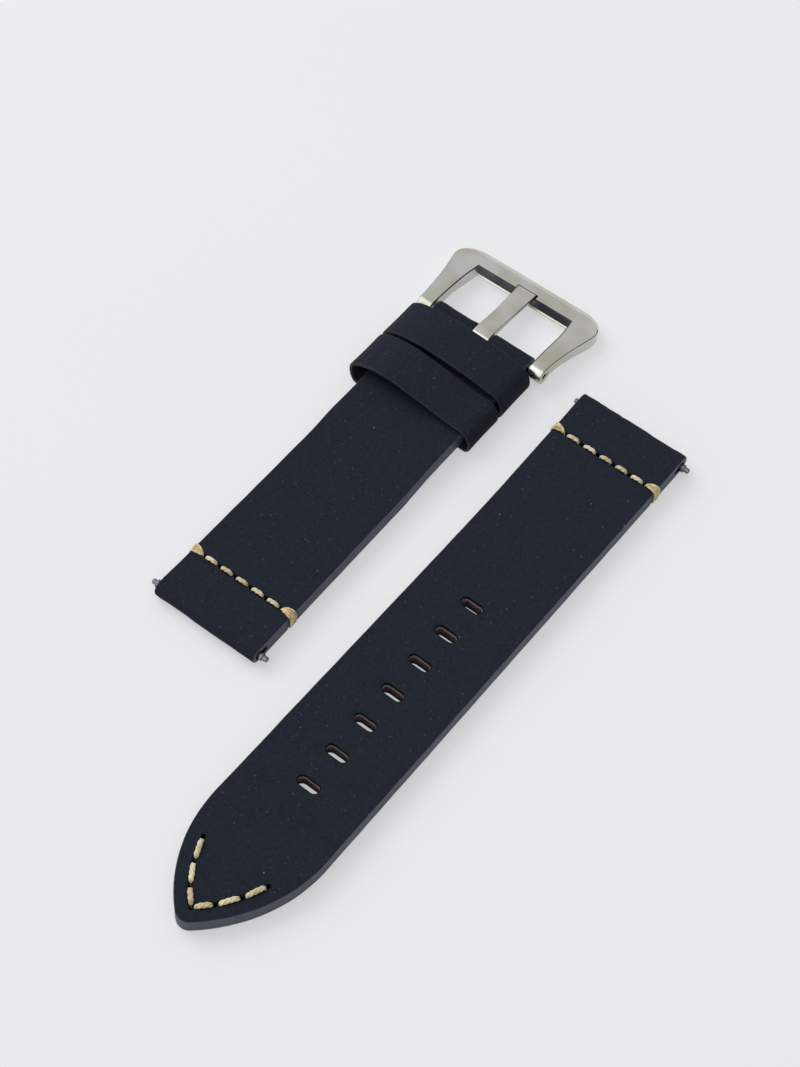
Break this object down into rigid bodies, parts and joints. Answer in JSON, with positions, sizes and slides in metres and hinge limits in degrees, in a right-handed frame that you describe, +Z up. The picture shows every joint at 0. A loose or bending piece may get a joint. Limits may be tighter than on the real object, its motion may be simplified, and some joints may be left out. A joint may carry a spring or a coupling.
{
  "type": "leather watch strap",
  "caption": "Two-piece leather watch strap laid flat: pointed tail half with slots, and buckle half with fixed and sliding keepers, tang buckle and spring bars.",
  "frame": {"origin": "on the table, under the middle of the laid-out pair of strap halves", "axes": "+X along both halves towards the buckle and the tail half's lug end, +Y across from the tail half to the buckle half, +Z up from the table"},
  "size_m": [0.1558, 0.0698, 0.008],
  "materials": {
    "black_leather": "matt, waxed",
    "lining_leather": "matt",
    "core_leather": "raw, edge dyed",
    "ecru_thread": "waxed, twisted",
    "satin_steel": "satin with polished facets",
    "bar_steel": "turned"
  },
  "bodies": {
    "tail_half": {"long_upper_leather": "black_leather", "long_core": "core_leather", "long_lining": "lining_leather", "long_lug_stitches": "ecru_thread", "long_edge_wraps": "ecru_thread", "long_tip_stitches": "ecru_thread"},
    "tail_bar": {"long_bar_tube": "bar_steel", "long_bar_spring": "bar_steel"},
    "tail_bar_tip_outer": {"long_bar_tip_outer": "bar_steel"},
    "tail_bar_tip_inner": {"long_bar_tip_inner": "bar_steel"},
    "buckle_half": {"short_upper_leather": "black_leather", "short_core": "core_leather", "short_lining": "lining_leather", "short_lug_stitches": "ecru_thread", "short_edge_wraps": "ecru_thread", "short_buckle_stitches": "ecru_thread", "fixed_keeper": "black_leather"},
    "sliding_loop": {"sliding_keeper": "black_leather"},
    "buckle": {"buckle_frame": "satin_steel", "buckle_screw_bar": "satin_steel"},
    "tongue": {"buckle_tongue": "satin_steel"},
    "buckle_half_bar": {"short_bar_tube": "bar_steel", "short_bar_spring": "bar_steel"},
    "buckle_half_tip_inner": {"short_bar_tip_inner": "bar_steel"},
    "buckle_half_tip_outer": {"short_bar_tip_outer": "bar_steel"}
  },
  "joints": [
    {"name": "buckle_half_lift", "type": "slide", "parent": "tail_half", "child": "buckle_half", "axis": [0, 0, 1], "range_m": [0, 0.03]},
    {"name": "keeper_slide", "type": "slide", "parent": "buckle_half", "child": "sliding_loop", "axis": [0.9999, 0.0147, 0], "range_m": [-0.008, 0.0009]},
    {"name": "buckle_swing", "type": "hinge", "parent": "buckle_half", "child": "buckle", "pos_m": [0.05782, 0.01668, 0.0027], "axis": [0.0147, -0.9999, 0], "range_deg": [-75, 35]},
    {"name": "tongue_lift", "type": "hinge", "parent": "buckle", "child": "tongue", "pos_m": [0.05782, 0.01668, 0.0027], "axis": [0.0147, -0.9999, 0], "range_deg": [0, 65]},
    {"name": "tail_bar_spin", "type": "hinge", "parent": "tail_half", "child": "tail_bar", "pos_m": [0.05783, -0.021, 0.00187], "axis": [0, 1, 0], "continuous": true},
    {"name": "tail_tip_outer_push", "type": "slide", "parent": "tail_bar", "child": "tail_bar_tip_outer", "axis": [0, 1, 0], "range_m": [0, 0.0015], "stiffness_N_per_m": 400, "springref_m": -0.002, "deforming": ["long_bar_spring"]},
    {"name": "tail_tip_inner_push", "type": "slide", "parent": "tail_bar", "child": "tail_bar_tip_inner", "axis": [0, -1, 0], "range_m": [0, 0.0015], "stiffness_N_per_m": 400, "springref_m": -0.002},
    {"name": "buckle_half_bar_spin", "type": "hinge", "parent": "buckle_half", "child": "buckle_half_bar", "pos_m": [-0.02892, 0.01541, 0.00187], "axis": [-0.0147, 0.9999, 0], "continuous": true},
    {"name": "buckle_half_tip_inner_push", "type": "slide", "parent": "buckle_half_bar", "child": "buckle_half_tip_inner", "axis": [-0.0147, 0.9999, 0], "range_m": [0, 0.0015], "stiffness_N_per_m": 400, "springref_m": -0.002, "deforming": ["short_bar_spring"]},
    {"name": "buckle_half_tip_outer_push", "type": "slide", "parent": "buckle_half_bar", "child": "buckle_half_tip_outer", "axis": [0.0147, -0.9999, 0], "range_m": [0, 0.0015], "stiffness_N_per_m": 400, "springref_m": -0.002}
  ]
}
